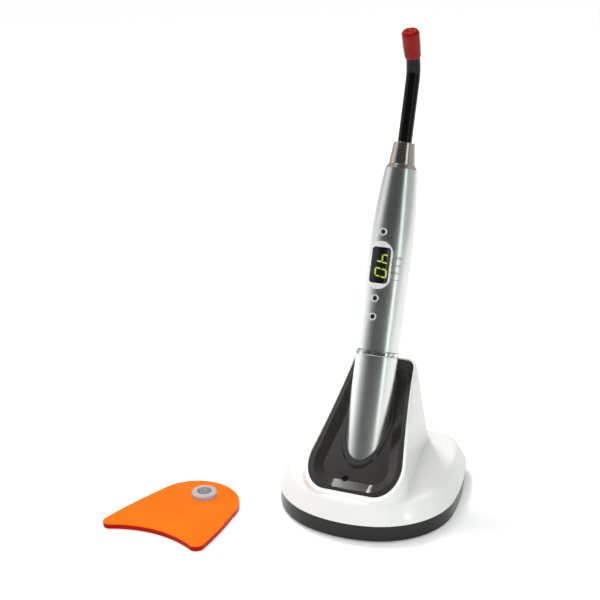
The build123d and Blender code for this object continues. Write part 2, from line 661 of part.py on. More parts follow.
# ---------------------------------------------------------------- eye shield
def make_shield_plate():
    """A plate with a round head, bowed sides and a hollow lower edge that is lower at its left."""
    head_centre = SHIELD_HEAD_UP - SHIELD_HEAD_R
    neck_half = (SHIELD_HEAD_R**2 - (SHIELD_NECK_DOWN + head_centre) ** 2) ** 0.5
    neck_left, neck_right = (-neck_half, -SHIELD_NECK_DOWN), (neck_half, -SHIELD_NECK_DOWN)
    foot_left = (-SHIELD_FOOT_LEFT[0], -SHIELD_FOOT_LEFT[1])
    foot_right = (SHIELD_FOOT_RIGHT[0], -SHIELD_FOOT_RIGHT[1])
    outline = Curve() + [
        ThreePointArc(neck_left, (0, SHIELD_HEAD_UP), neck_right),
        ThreePointArc(neck_right, (SHIELD_SIDE[0], -SHIELD_SIDE[1]), foot_right),
        ThreePointArc(foot_right, (0, -SHIELD_HOLLOW_DOWN), foot_left),
        ThreePointArc(foot_left, (-SHIELD_SIDE[0], -SHIELD_SIDE[1]), neck_left),
    ]
    plan = make_face(outline)
    plan = fillet(plan.vertices().sort_by(Axis.Y)[:2], SHIELD_CORNER_R)
    plan = fillet(plan.vertices().sort_by(Axis.Y)[-2:], SHIELD_NECK_R)
    plate = extrude(plan, amount=SHIELD_THICKNESS)
    plate = chamfer(plate.faces().sort_by(Axis.Z)[-1].edges(), SHIELD_EDGE)
    return plate - disc(GROMMET_NECK_R, -1, SHIELD_THICKNESS + 1)


def make_shield_grommet():
    body = disc(GROMMET_NECK_R - THREAD_GAP, 0, SHIELD_THICKNESS)
    flange = disc(GROMMET_R, SHIELD_THICKNESS, GROMMET_HEIGHT)
    body += fillet(flange.faces().sort_by(Axis.Z)[-1].edges(), 1.4)
    return body - disc(GROMMET_BORE_R, -1, GROMMET_HEIGHT + 1)


def on_shield(shape):
    return Pos(SHIELD_X, SHIELD_Y, 0) * Rot(0, 0, -SHIELD_TILT) * shape


# ---------------------------------------------------------------- write the parts
def main():
    os.makedirs("parts", exist_ok=True)
    export(make_top_cover(), "top_cover")
    export(make_base_tray(), "base_tray")
    export(slab(PAD_INSET, 0, TRAY_BOTTOM_Z + PAD_RECESS), "anti_slip_pad")
    export(make_cradle_insert(), "cradle_insert")
    export(make_sensor_lens(), "sensor_lens")
    export(make_sensor_board(), "sensor_board")
    export(make_charge_contacts(), "charge_contacts")
    export(light_pipe(LED_R, LED_LENGTH, 0.3), "status_light_pipe")
    export(make_dc_jack(), "dc_jack")
    export(make_base_board(), "base_board")
    export(block(BALLAST_SIZE, 0, BALLAST_Y, FLOOR_Z), "ballast_bar")
    export(make_base_screws(), "base_screws")
    handpiece_nodes = {
        "rear_tube": make_rear_tube(),
        "joint_ring": make_joint_ring(),
        "joint_seal": seal_ring(NECK_R + JOINT_GAP / 2),
        "tail_contacts": make_tail_contacts(),
        "cell_spring": make_cell_spring(),
        "battery_cell": make_battery_cell(),
        "cell_contact": make_cell_contact(),
        "collar": make_collar(),
        "heat_sink": make_heat_sink(),
        "led_board": make_led_board(),
        "led_emitter": make_led_emitter(),
        "collimator_lens": make_lens(),
        "guide_sheath": make_guide_sheath(),
        "guide_core": make_guide_core(),
        "guide_bush": make_guide_bush(),
        "tip_cap": make_tip_cap(),
    }
    for name, shape in handpiece_nodes.items():
        export(on_handpiece(shape), name)
    control_nodes = {
        "front_tube": make_front_tube(),
        "display_bezel": make_display_bezel(),
        "display_window": make_display_window(),
        "display_module": make_display_module(),
        "button_rings": make_button_rings(),
        "tact_switches": make_tact_switches(),
        "control_board": make_control_board(),
    }
    for name, z in BUTTON_STATIONS.items():
        control_nodes[name] = make_button(z)
    for name, shape in control_nodes.items():
        export(on_front_half(shape), name)
    export(on_shield(make_shield_plate()), "shield_plate")
    export(on_shield(make_shield_grommet()), "shield_grommet")


main()
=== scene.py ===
"""Looks of a dental lab light curing unit: a charging base, a cordless handpiece that leans in its
cradle, and a loose orange eye shield. Metres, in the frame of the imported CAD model.
"""

import json
import math

import bmesh
import bpy
from mathutils import Matrix, Vector
from mathutils.bvhtree import BVHTree


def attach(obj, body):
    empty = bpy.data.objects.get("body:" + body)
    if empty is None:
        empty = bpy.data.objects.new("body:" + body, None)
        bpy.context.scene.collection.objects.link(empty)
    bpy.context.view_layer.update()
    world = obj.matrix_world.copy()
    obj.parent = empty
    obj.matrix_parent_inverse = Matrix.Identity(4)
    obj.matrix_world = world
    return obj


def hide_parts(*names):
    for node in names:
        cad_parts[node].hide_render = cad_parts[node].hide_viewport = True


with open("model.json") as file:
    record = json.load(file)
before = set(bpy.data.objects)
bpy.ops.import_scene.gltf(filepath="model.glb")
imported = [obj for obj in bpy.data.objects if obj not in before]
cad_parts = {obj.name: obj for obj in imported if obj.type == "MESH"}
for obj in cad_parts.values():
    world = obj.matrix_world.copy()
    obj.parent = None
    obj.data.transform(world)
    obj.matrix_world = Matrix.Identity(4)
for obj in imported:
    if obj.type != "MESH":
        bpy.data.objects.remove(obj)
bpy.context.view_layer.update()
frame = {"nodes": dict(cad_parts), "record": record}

MM = 0.001

# ---- Camera ----
CAMERA_SWING = 22.4334     # round to the object's right, from straight in front
CAMERA_PITCH = 20.2851
CAMERA_ROLL = -0.5367
CAMERA_TARGET = Vector((-42.392, -8.0, 117.583)) * MM
CAMERA_DISTANCE = 0.67124
SENSOR = 36.0
LENS = 71.675
CLIP_NEAR = 0.01
CLIP_FAR = 20.0

# ---- Handpiece, as the CAD source places it; stations are mm along its axis from its foot ----
LEAN = math.radians(21.0)
FOOT = Vector((0.0, -24.266, 14.937)) * MM
FRONT_TURN = math.radians(-8.0)
DISPLAY_CENTRE = 126.7
GUIDE_BEND = math.radians(43.0)
BEND_STATION = 239.0
GUIDE_TIP = 23.2           # from the bend

HANDPIECE = Matrix.Translation(FOOT) @ Matrix.Rotation(-LEAN, 4, "X")
FRONT_HALF = HANDPIECE @ Matrix.Rotation(FRONT_TURN, 4, "Z")


# ---------------------------------------------------------------- node helpers
def shader_node(tree, kind, inputs=None, **settings):
    """Adds a shader node; inputs are values or other nodes' sockets."""
    made = tree.nodes.new("ShaderNode" + kind)
    for key, value in settings.items():
        setattr(made, key, value)
    for socket, value in (inputs or {}).items():
        if isinstance(value, bpy.types.NodeSocket):
            tree.links.new(value, made.inputs[socket])
        else:
            made.inputs[socket].default_value = value
    return made


def object_place(tree, leaning=False, stretch=(1.0, 1.0, 1.0)):
    """Object coordinates, turned into the handpiece's frame where the piece leans with it."""
    place = shader_node(tree, "TexCoord").outputs["Object"]
    if leaning:
        turned = shader_node(tree, "Mapping", {"Vector": place, "Rotation": (LEAN, 0.0, 0.0)})
        place = turned.outputs["Vector"]
    if stretch != (1.0, 1.0, 1.0):
        place = shader_node(tree, "Mapping", {"Vector": place, "Scale": stretch}).outputs["Vector"]
    return place


def noise(tree, place, scale, detail=2.0):
    made = shader_node(tree, "TexNoise", {"Vector": place, "Scale": scale, "Detail": detail})
    return made.outputs["Fac"]


def spread(tree, value, low, high, start=0.3, end=0.7):
    """A value between start and end, spread over low to high."""
    made = shader_node(tree, "MapRange", {
        "Value": value, "From Min": start, "From Max": end, "To Min": low, "To Max": high})
    return made.outputs["Result"]


def mix_colour(tree, factor, first, second):
    """A colour between first and second. A Mix node's colours are its sockets 6 and 7, and output 2."""
    made = shader_node(tree, "Mix", data_type="RGBA")
    for socket, value in ((made.inputs[0], factor), (made.inputs[6], first), (made.inputs[7], second)):
        if isinstance(value, bpy.types.NodeSocket):
            tree.links.new(value, socket)
        elif isinstance(value, tuple):
            socket.default_value = (*value, 1.0)
        else:
            socket.default_value = value
    return made.outputs[2]


def relief(tree, height, depth, strength=1.0, under=None):
    """A bump of the given depth in millimetres, over another one."""
    inputs = {"Height": height, "Distance": depth * MM, "Strength": strength}
    if under is not None:
        inputs["Normal"] = under
    return shader_node(tree, "Bump", inputs).outputs["Normal"]


def blank(name, **sockets):
    """A material with a Principled shader, whose plain values are set on its own sockets."""
    material = bpy.data.materials.new(name)
    material.use_nodes = True
    tree = material.node_tree
    shader = tree.nodes["Principled BSDF"]
    for socket, value in sockets.items():
        colour = isinstance(value, tuple) and len(value) == 3
        shader.inputs[socket.replace("_", " ")].default_value = (*value, 1.0) if colour else value
    return material, tree, shader


DUST_SCALE = 2600.0
DUST_FROM = 0.72           # only the noise's peaks become specks
DUST_FULL = 0.8
GLOSS_FINER = 2.7          # the roughness varies in finer patches than the colour


def finish(name, tones, gloss, patch=60.0, grain=None, lines=None, dust=None, leaning=False, **sockets):
    """A surface finish. tones: two colours in soft patches. gloss: the roughness's range.
    grain: (scale, depth in mm). lines: (stretch, scale, depth in mm), for turned or drawn parts.
    dust: (colour, share), for fine specks. sockets: plain values of the shader."""
    material, tree, shader = blank(name, **sockets)
    place = object_place(tree, leaning)
    soft = spread(tree, noise(tree, place, patch, 3.0), 0.0, 1.0)
    colour = mix_colour(tree, soft, tones[0], tones[1])
    if dust:
        specks = spread(tree, noise(tree, place, DUST_SCALE, 1.0), 0.0, dust[1], DUST_FROM, DUST_FULL)
        colour = mix_colour(tree, specks, colour, dust[0])
    tree.links.new(colour, shader.inputs["Base Color"])
    rough = spread(tree, noise(tree, place, patch * GLOSS_FINER, 4.0), gloss[0], gloss[1])
    tree.links.new(rough, shader.inputs["Roughness"])
    normal = None
    if grain:
        normal = relief(tree, noise(tree, place, grain[0], 3.0), grain[1])
    if lines:
        drawn = object_place(tree, leaning, lines[0])
        normal = relief(tree, noise(tree, drawn, lines[1], 2.0), lines[2], under=normal)
    if normal is not None:
        tree.links.new(normal, shader.inputs["Normal"])
    return material


TURNED = (0.02, 0.02, 1.0)     # fine rings round the handpiece's axis

FINISHES = {
    "white_cover": dict(tones=((0.88, 0.88, 0.858), (0.868, 0.866, 0.843)), gloss=(0.2, 0.25), patch=20.0,
                        grain=(1400.0, 0.0015), dust=((0.7, 0.69, 0.66), 0.2)),
    "black_tray": dict(tones=((0.009, 0.008, 0.008), (0.012, 0.011, 0.011)), gloss=(0.2, 0.26), patch=30.0,
                       grain=(1200.0, 0.002), dust=((0.12, 0.115, 0.115), 0.3), Specular_IOR_Level=0.3),
    "black_insert": dict(tones=((0.022, 0.0205, 0.02), (0.03, 0.028, 0.0275)), gloss=(0.13, 0.17), patch=30.0,
                         grain=(900.0, 0.0012), dust=((0.12, 0.1, 0.1), 0.25)),
    "rubber_pad": dict(tones=((0.02, 0.02, 0.02), (0.032, 0.031, 0.031)), gloss=(0.7, 0.9), patch=90.0,
                       grain=(2200.0, 0.03)),
    "light_pipe": dict(tones=((0.92, 0.94, 0.96), (0.86, 0.9, 0.94)), gloss=(0.2, 0.3), patch=700.0,
                       grain=(2500.0, 0.004), Emission_Color=(0.92, 0.96, 1.0), Emission_Strength=0.6),
    "black_plastic": dict(tones=((0.018, 0.018, 0.019), (0.027, 0.026, 0.027)), gloss=(0.42, 0.55),
                          patch=80.0, grain=(2000.0, 0.02)),
    "steel": dict(tones=((0.5, 0.5, 0.5), (0.58, 0.575, 0.57)), gloss=(0.3, 0.45), patch=120.0,
                  grain=(1500.0, 0.01), lines=((1.0, 0.03, 1.0), 900.0, 0.01), Metallic=1.0),
    "silver_anodised": dict(tones=((0.77, 0.795, 0.78), (0.745, 0.77, 0.755)), gloss=(0.27, 0.31), patch=12.0,
                            dust=((0.7, 0.72, 0.71), 0.3), leaning=True, Metallic=0.97),
    "chrome": dict(tones=((0.86, 0.86, 0.87), (0.82, 0.82, 0.83)), gloss=(0.05, 0.08), patch=140.0,
                   grain=(1800.0, 0.0006), lines=(TURNED, 2600.0, 0.0005), leaning=True, Metallic=1.0),
    "seal_rubber": dict(tones=((0.012, 0.012, 0.012), (0.02, 0.02, 0.02)), gloss=(0.5, 0.65), patch=200.0,
                        grain=(1800.0, 0.01), leaning=True),
    "bezel_silver": dict(tones=((0.84, 0.84, 0.83), (0.8, 0.8, 0.79)), gloss=(0.25, 0.32), patch=90.0,
                         grain=(2400.0, 0.0006), leaning=True, Metallic=0.2),
    "display_face": dict(tones=((0.006, 0.005, 0.008), (0.011, 0.01, 0.014)), gloss=(0.3, 0.4), patch=300.0,
                         grain=(3000.0, 0.003), leaning=True),
    "button_black": dict(tones=((0.015, 0.015, 0.016), (0.03, 0.03, 0.03)), gloss=(0.14, 0.22), patch=500.0,
                         grain=(3000.0, 0.002), leaning=True),
    "stainless": dict(tones=((0.6, 0.54, 0.48), (0.56, 0.5, 0.445)), gloss=(0.2, 0.25), patch=40.0,
                      dust=((0.5, 0.46, 0.42), 0.2), leaning=True, Metallic=0.97),
    "plain_aluminium": dict(tones=((0.72, 0.73, 0.74), (0.66, 0.67, 0.68)), gloss=(0.28, 0.4), patch=150.0,
                            lines=(TURNED, 2200.0, 0.01), leaning=True, Metallic=1.0),
    "gold_contact": dict(tones=((0.83, 0.6, 0.24), (0.74, 0.5, 0.18)), gloss=(0.15, 0.28), patch=400.0,
                         grain=(2600.0, 0.004), leaning=True, Metallic=1.0),
    "cell_wrap": dict(tones=((0.03, 0.1, 0.34), (0.04, 0.13, 0.4)), gloss=(0.25, 0.36), patch=90.0,
                      grain=(500.0, 0.02), leaning=True, Coat_Weight=0.3, Coat_Roughness=0.2),
    "emitter": dict(tones=((0.85, 0.72, 0.16), (0.75, 0.6, 0.1)), gloss=(0.2, 0.3), patch=900.0,
                    grain=(2600.0, 0.006), leaning=True, Coat_Weight=0.8, Coat_Roughness=0.04),
    "guide_black": dict(tones=((0.003, 0.003, 0.0035), (0.005, 0.0047, 0.005)), gloss=(0.07, 0.1), patch=50.0,
                        grain=(1500.0, 0.0004), leaning=True, Specular_IOR_Level=0.2),
    "bush_black": dict(tones=((0.02, 0.02, 0.02), (0.03, 0.03, 0.03)), gloss=(0.4, 0.5), patch=200.0,
                       lines=(TURNED, 2400.0, 0.01), leaning=True),
    "grey_rubber": dict(tones=((0.46, 0.43, 0.45), (0.5, 0.47, 0.49)), gloss=(0.45, 0.6), patch=80.0,
                        grain=(2400.0, 0.006), dust=((0.6, 0.58, 0.6), 0.4)),
    "clear_lens": dict(tones=((0.88, 0.9, 0.93), (0.82, 0.85, 0.9)), gloss=(0.02, 0.06), patch=300.0,
                       grain=(1500.0, 0.001), Transmission_Weight=0.85, IOR=1.49),
    "guide_glass": dict(tones=((0.92, 0.94, 0.96), (0.8, 0.86, 0.92)), gloss=(0.03, 0.12), patch=4000.0,
                        leaning=True, Transmission_Weight=0.6, IOR=1.52),
    "window_glass": dict(tones=((0.75, 0.75, 0.78), (0.7, 0.7, 0.74)), gloss=(0.02, 0.05), patch=200.0,
                         grain=(900.0, 0.0004), leaning=True, Transmission_Weight=1.0, IOR=1.35),
    "unlit_segment": dict(tones=((0.016, 0.017, 0.014), (0.022, 0.024, 0.018)), gloss=(0.3, 0.45),
                          patch=500.0, grain=(3000.0, 0.002), leaning=True),
    "printed_grey": dict(tones=((0.2, 0.23, 0.22), (0.26, 0.29, 0.28)), gloss=(0.4, 0.5), patch=900.0,
                         grain=(4000.0, 0.003), leaning=True),
    "sensor_glass": dict(tones=((0.008, 0.005, 0.006), (0.014, 0.009, 0.01)), gloss=(0.03, 0.06),
                         patch=600.0, grain=(2000.0, 0.001), Coat_Weight=0.6, Coat_Roughness=0.02),
    # Painted reflection: pale and dark patches in the colour stand in for what the joint ring's bevel
    # mirrors.
    "ring_painted_reflection": dict(tones=((0.9, 0.9, 0.9), (0.1, 0.1, 0.1)), gloss=(0.08, 0.12), patch=300.0,
                        leaning=True, Metallic=0.9),
}


def circuit_board(name):
    """Green solder mask with copper traces and pads."""
    material, tree, shader = blank(name, Roughness=0.4, Coat_Weight=0.3)
    place = object_place(tree)
    tracks = shader_node(tree, "TexBrick", {"Vector": place, "Scale": 260.0, "Mortar Size": 0.03})
    pads = shader_node(tree, "TexVoronoi", {"Vector": place, "Scale": 420.0})
    copper = spread(tree, pads.outputs["Distance"], 1.0, 0.0, 0.16, 0.22)
    mask = mix_colour(tree, tracks.outputs["Fac"], (0.01, 0.11, 0.045), (0.03, 0.2, 0.07))
    tree.links.new(mix_colour(tree, copper, mask, (0.62, 0.5, 0.28)), shader.inputs["Base Color"])
    tree.links.new(copper, shader.inputs["Metallic"])
    tree.links.new(relief(tree, tracks.outputs["Fac"], 0.03), shader.inputs["Normal"])
    return material


def orange_acrylic(name):
    """Dyed acrylic: bright orange faces, and upright edges in deep red. The plate has a painted glow, as it
    emits its own colour, and the deep red of its edges is painted light through the dye.
    """
    # Painted glow: the emission makes the plate shine in its own colour, though it is no lamp.
    material, tree, shader = blank(name, Specular_IOR_Level=0.1, Emission_Strength=0.3)
    place = object_place(tree)
    normal = shader_node(tree, "NewGeometry").outputs["Normal"]
    upright = shader_node(tree, "SeparateXYZ", {"Vector": normal}).outputs["Z"]
    steep = shader_node(tree, "Math", {0: upright}, operation="ABSOLUTE").outputs["Value"]
    # Painted light: steep faces turn deep red, standing in for light seen through the dye along the edges.
    painted_edge_red = spread(tree, steep, 1.0, 0.0, 0.2, 0.85)
    cloud = spread(tree, noise(tree, place, 30.0), 0.0, 1.0)
    tone = mix_colour(tree, cloud, (0.9, 0.125, 0.0), (0.95, 0.145, 0.001))
    colour = mix_colour(tree, painted_edge_red, tone, (0.32, 0.002, 0.0))
    tree.links.new(colour, shader.inputs["Base Color"])
    tree.links.new(colour, shader.inputs["Emission Color"])
    scuffs = object_place(tree, False, (1.0, 0.05, 1.0))
    tree.links.new(spread(tree, noise(tree, scuffs, 700.0, 4.0), 0.05, 0.12), shader.inputs["Roughness"])
    tree.links.new(relief(tree, noise(tree, place, 120.0, 1.0), 0.004), shader.inputs["Normal"])
    return material


def red_vinyl(name):
    """Dipped vinyl: deep red under a thin gloss, with fine sags that run up the cap."""
    material, tree, shader = blank(name, Specular_IOR_Level=0.1, Coat_Weight=0.18, Coat_Roughness=0.05)
    place = object_place(tree, True)
    tone = spread(tree, noise(tree, place, 160.0, 3.0), 0.0, 1.0)
    colour = mix_colour(tree, tone, (0.22, 0.002, 0.003), (0.31, 0.004, 0.004))
    tree.links.new(colour, shader.inputs["Base Color"])
    tree.links.new(spread(tree, noise(tree, place, 420.0, 3.0), 0.16, 0.3), shader.inputs["Roughness"])
    sags = relief(tree, noise(tree, object_place(tree, True, (1.0, 1.0, 0.35)), 420.0, 2.0), 0.12, 0.6)
    tree.links.new(relief(tree, noise(tree, place, 2600.0, 2.0), 0.004, under=sags), shader.inputs["Normal"])
    return material


def lit_segment(name):
    """A lit display segment, slightly uneven in its glow."""
    material, tree, shader = blank(name, Roughness=0.5, Emission_Strength=0.75)
    place = object_place(tree, True)
    glow = spread(tree, noise(tree, place, 900.0, 2.0), 0.0, 1.0)
    tone = mix_colour(tree, glow, (0.5, 0.72, 0.02), (0.72, 0.88, 0.1))
    tree.links.new(tone, shader.inputs["Emission Color"])
    tree.links.new(tone, shader.inputs["Base Color"])
    return material


MATERIALS = {name: finish(name, **recipe) for name, recipe in FINISHES.items()}
for make in (circuit_board, orange_acrylic, red_vinyl, lit_segment):
    MATERIALS[make.__name__] = make(make.__name__)

# CAD nodes whose look is not that of their material slot. The chrome button rings take the pale bezel_silver,
# a painted highlight of their bright rims.
OWN_FINISH = {"sensor_lens": "sensor_glass", "button_rings": "bezel_silver", "joint_ring": "ring_painted_reflection"}

for part in frame["record"]["subparts"]:
    mesh = frame["nodes"][part["node"]].data
    mesh.materials.clear()
    mesh.materials.append(MATERIALS[OWN_FINISH.get(part["node"], part["material_slot"])])


# ---------------------------------------------------------------- pieces
def add_piece(name, mesh, body, material):
    """A finished mesh as a piece that rides on a body."""
    piece = bpy.data.objects.new(name, mesh)
    bpy.context.scene.collection.objects.link(piece)
    mesh.materials.append(MATERIALS[material])
    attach(piece, body)
    return piece


def mesh_from(shape, name):
    bmesh.ops.recalc_face_normals(shape, faces=shape.faces[:])
    mesh = bpy.data.meshes.new(name)
    shape.to_mesh(mesh)
    shape.free()
    return mesh


def prism(shape, outline, near, far, place):
    """A closed prism over a flat outline of (x, z) points, from depth near to depth far, in mm."""
    rings = []
    for depth in (near, far):
        rings.append([shape.verts.new(place @ (Vector((x, -depth, z)) * MM)) for x, z in outline])
    shape.faces.new(rings[0])
    shape.faces.new(list(reversed(rings[1])))
    count = len(outline)
    for i in range(count):
        j = (i + 1) % count
        shape.faces.new((rings[0][i], rings[0][j], rings[1][j], rings[1][i]))


def rounded(width, length, radius, steps=6):
    """Outline of a rounded rectangle, as (x, z) points about its centre."""
    outline = []
    for turn, (sx, sz) in enumerate(((1, 1), (-1, 1), (-1, -1), (1, -1))):
        for step in range(steps + 1):
            angle = math.pi / 2 * (turn + step / steps)
            outline.append((sx * (width / 2 - radius) + radius * math.cos(angle),
                            sz * (length / 2 - radius) + radius * math.sin(angle)))
    return outline


# Display: a black face with two slanted seven-segment digits, read with their tops toward +X.
FACE_DEPTH = 9.2           # the face's front, from the handpiece's axis
FACE_WIDTH = 11.3
FACE_LENGTH = 20.0
FACE_CORNER = 1.2
FACE_THICKNESS = 0.5
DIGIT_HEIGHT = 6.6
DIGIT_WIDTH = 4.3
DIGIT_SUNK = 0.02          # into the face
DIGIT_PROUD = 0.06
SEGMENT = 0.78             # a segment's width
SEGMENT_GAP = 0.22         # from its end to the digit's corner
DIGIT_STEP = 4.05          # each digit's centre from the display's centre
DIGIT_SLANT = 0.16
# Each segment's two ends, as shares of the digit's width and height.
SEGMENTS = {
    "top": ((0, 1), (1, 1)), "middle": ((0, 0.5), (1, 0.5)), "bottom": ((0, 0), (1, 0)),
    "upper_left": ((0, 0.5), (0, 1)), "upper_right": ((1, 0.5), (1, 1)),
    "lower_left": ((0, 0), (0, 0.5)), "lower_right": ((1, 0), (1, 0.5)),
}
LIT = {"4": ("middle", "upper_left", "upper_right", "lower_right"),
       "0": ("top", "bottom", "upper_left", "upper_right", "lower_left", "lower_right")}


def segment_outline(start, end, centre_z):
    """A pointed bar between two corners of a digit, turned so that the digit's top is toward +X."""
    a = Vector((start[0] - 0.5, start[1] - 0.5))
    b = Vector((end[0] - 0.5, end[1] - 0.5))
    a = Vector((a.x * DIGIT_WIDTH, a.y * DIGIT_HEIGHT))
    b = Vector((b.x * DIGIT_WIDTH, b.y * DIGIT_HEIGHT))
    along = (b - a).normalized()
    side = Vector((-along.y, along.x)) * SEGMENT / 2
    tip = SEGMENT / 2
    a += along * SEGMENT_GAP
    b -= along * SEGMENT_GAP
    near, far = a + along * tip, b - along * tip
    points = [a, near + side, far + side, b, far - side, near - side]
    slanted = [(p.x + DIGIT_SLANT * p.y, p.y) for p in points]
    return [(up, centre_z - right) for right, up in slanted]


def add_display():
    place = FRONT_HALF @ Matrix.Translation((0.0, 0.0, DISPLAY_CENTRE * MM))
    face = bmesh.new()
    prism(face, rounded(FACE_WIDTH, FACE_LENGTH, FACE_CORNER), FACE_DEPTH - FACE_THICKNESS, FACE_DEPTH, place)
    add_piece("display_face", mesh_from(face, "display_face"), "front_handle", "display_face")
    lit, unlit = bmesh.new(), bmesh.new()
    for digit, centre_z in (("4", DIGIT_STEP), ("0", -DIGIT_STEP)):
        for name, (start, end) in SEGMENTS.items():
            target = lit if name in LIT[digit] else unlit
            outline = segment_outline(start, end, centre_z)
            prism(target, outline, FACE_DEPTH - DIGIT_SUNK, FACE_DEPTH + DIGIT_PROUD, place)
    add_piece("digits_lit", mesh_from(lit, "digits_lit"), "front_handle", "lit_segment")
    add_piece("digits_unlit", mesh_from(unlit, "digits_unlit"), "front_handle", "unlit_segment")


# Printed marks on the tube: generic symbols, wrapped on its surface. Sizes and stations are in mm, and
# places round the tube in degrees from the display's middle, toward +X.
tube_surface = BVHTree.FromObject(frame["nodes"]["front_tube"], bpy.context.evaluated_depsgraph_get())
PRINT_THICKNESS = 0.03
PRINT_SUNK = 0.02          # how far it reaches into the tube's surface
TUBE_RADIUS = 12.4         # about, where the prints are
DEGREES_PER_MM = 180.0 / math.pi / TUBE_RADIUS
RAY_START = 0.03           # metres from the axis, outside the tube
BAR_COLUMNS = 4            # faces along a bar, so that it follows the curve
ARC_STEP = 24.0            # degrees of an arc that one bar covers
ARC_LEAST_BARS = 8
ARC_OVERLAP = 1.04
# Each symbol by a button: its arc (place, station, radius, stroke, start, sweep), and the bars in it
# (place, station, width, height).
SYMBOLS = (
    ((32.0, 144.9, 0.7, 0.26, 120.0, 300.0), ((32.0, 145.5, 0.24, 0.8),)),
    ((34.0, 108.5, 0.75, 0.24, 0.0, 360.0), ((34.0, 108.8, 0.2, 0.7), (35.2, 108.45, 0.5, 0.2))),
    ((33.0, 97.8, 0.75, 0.26, 120.0, 300.0), ((33.0, 98.45, 0.24, 0.85),)),
)
# Each mode's row by the display: its station, and the heights of its three bars.
MODES = ((131.6, (1.5, 1.5, 1.5)), (127.4, (0.45, 0.95, 1.45)),
         (123.2, (1.45, 0.95, 0.45)), (119.3, (0.5, 0.5, 0.5)))
MODE_DOT_PLACE = 35.5
MODE_DOT = 1.0
MODE_BAR_PLACES = (43.5, 49.1, 54.7)
MODE_BAR_WIDTH = 0.75


def on_tube(angle, station, proud):
    """A point on the front tube's surface, or proud of it, in mm."""
    turn = math.radians(angle)
    out = (FRONT_HALF.to_3x3() @ Vector((math.sin(turn), -math.cos(turn), 0.0))).normalized()
    axis_point = FRONT_HALF @ Vector((0.0, 0.0, station * MM))
    hit = tube_surface.ray_cast(axis_point + out * RAY_START, -out)[0]
    return hit + out * proud * MM


def wrapped_bar(shape, angle, station, width, height, turn=0.0):
    """A thin bar printed on the tube, turned by turn degrees."""
    c, s = math.cos(math.radians(turn)), math.sin(math.radians(turn))
    rings = []
    for proud in (-PRINT_SUNK, PRINT_THICKNESS):
        ring = []
        for side in (-1, 1):
            for i in range(BAR_COLUMNS + 1):
                u = (i / BAR_COLUMNS - 0.5) * width * (1 if side < 0 else -1)
                v = side * height / 2
                x, z = u * c - v * s, u * s + v * c
                ring.append(shape.verts.new(on_tube(angle + x * DEGREES_PER_MM, station + z, proud)))
        rings.append(ring)
    count = len(rings[0])
    for i in range(BAR_COLUMNS):
        for ring in rings:
            shape.faces.new((ring[i], ring[i + 1], ring[count - 2 - i], ring[count - 1 - i]))
    for i in range(count):
        j = (i + 1) % count
        shape.faces.new((rings[0][i], rings[0][j], rings[1][j], rings[1][i]))


def wrapped_arc(shape, angle, station, radius, stroke, start, sweep):
    """A printed arc made of short bars, from start over sweep degrees."""
    steps = max(ARC_LEAST_BARS, int(sweep / ARC_STEP))
    length = 2 * math.pi * radius * sweep / 360 / steps * ARC_OVERLAP
    for i in range(steps):
        turn = start + sweep * (i + 0.5) / steps
        x, z = radius * math.cos(math.radians(turn)), radius * math.sin(math.radians(turn))
        wrapped_bar(shape, angle + x * DEGREES_PER_MM, station + z, length, stroke, turn + 90.0)


def add_prints():
    marks = bmesh.new()
    for arc, bars in SYMBOLS:
        wrapped_arc(marks, *arc)
        for bar in bars:
            wrapped_bar(marks, *bar)
    for station, heights in MODES:
        wrapped_bar(marks, MODE_DOT_PLACE, station, MODE_DOT, MODE_DOT)
        for bar_place, height in zip(MODE_BAR_PLACES, heights):
            wrapped_bar(marks, bar_place, station, MODE_BAR_WIDTH, height)
    add_piece("printed_marks", mesh_from(marks, "printed_marks"), "front_handle", "printed_grey")


# Cap: dipped vinyl that has sagged into folds round the guide's tip, with a puckered end. Heights are
# from its mouth.
CAP_LENGTH = 16.0
CAP_BORE_DEPTH = 14.86
CAP_BORE_CONE = 1.0        # the bore's end is a shallow cone
CAP_OUTER = 5.08
CAP_INNER = 4.07
CAP_PAST_TIP = 1.2         # its end, past the guide's tip
CAP_MOUTH = GUIDE_TIP + CAP_PAST_TIP - CAP_LENGTH
CAP_SIDES = 96
CAP_CORNER = 1.7
CAP_BORE_HEIGHTS = (CAP_BORE_DEPTH - CAP_BORE_CONE, 7.0, 0.3)
CAP_WALL_HEIGHTS = (0.35, 1.2, 3.0, 5.0, 7.0, 9.0, 11.0, 12.6, CAP_LENGTH - CAP_CORNER)
CAP_CORNER_STEPS = 5
CAP_END_SHARES = (0.15, 0.4, 0.65, 0.85)   # of the way from the end's rim to its middle
CAP_MOUTH_SLIMMER = 0.34
CAP_UNEVEN = 0.05
CAP_UNEVEN_TWIST = 9.0     # radians from mouth to end
CAP_PUCKER = 0.42          # the depth of the end's ripples
CAP_PUCKER_FOLDS = 5.0
CAP_PUCKER_TWIST = 3.0     # radians from rim to middle
CAP_END_SINK = 0.35
CAP_END_DIP = 0.4          # the end's middle, below its rim
CAP_FOLD_DRIFT = 14.0      # degrees that a fold drifts round the cap, from mouth to end
CAP_FOLD_AT_MOUTH = 0.35   # a fold's depth at the mouth, as a share of that at the end
# Each fold: where round the cap, in degrees, its depth in mm, and its width in degrees.
CAP_FOLDS = ((20.0, 0.3, 9.0), (-38.0, 0.22, 12.0), (95.0, 0.3, 14.0), (168.0, 0.25, 11.0),
             (-110.0, 0.3, 12.0))


